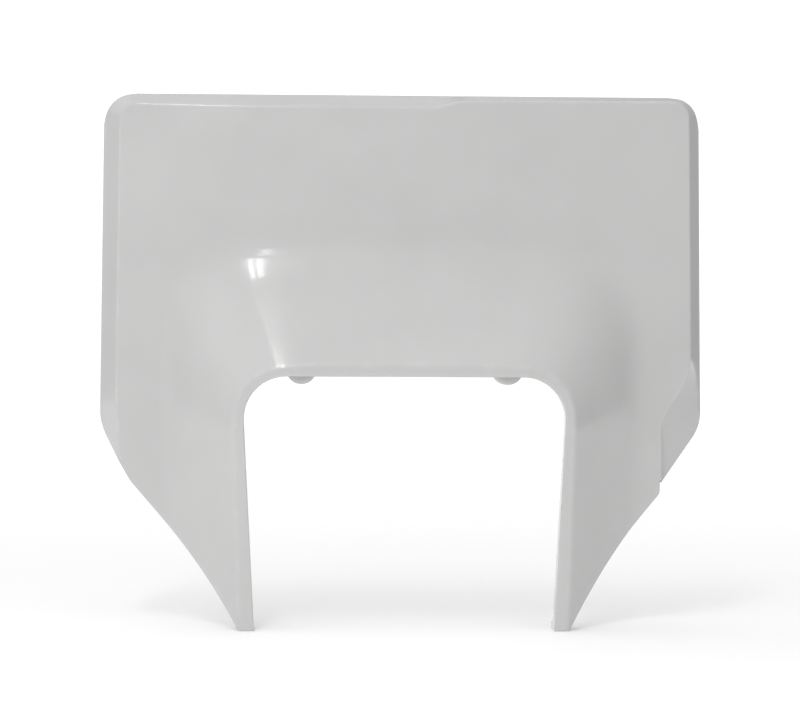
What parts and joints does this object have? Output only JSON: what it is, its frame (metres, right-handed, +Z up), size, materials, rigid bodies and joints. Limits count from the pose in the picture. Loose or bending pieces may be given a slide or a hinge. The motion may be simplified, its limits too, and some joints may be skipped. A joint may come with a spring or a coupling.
{
  "type": "headlight mask",
  "caption": "One-piece white moulded mask for an off-road motorbike headlight, with a flat number field, a flared brow around the lamp opening, legs and fixing bosses behind",
  "frame": {"origin": "midway between the two headlight bosses, on their rear seats", "axes": "X to the right seen from the front, Y to the rear, Z up along the number field"},
  "size_m": [0.2536, 0.055, 0.2212],
  "materials": {
    "white_plastic": "gloss white polypropylene, satin inside"
  },
  "bodies": {
    "root": {"mask_shell": "white_plastic"}
  },
  "joints": []
}
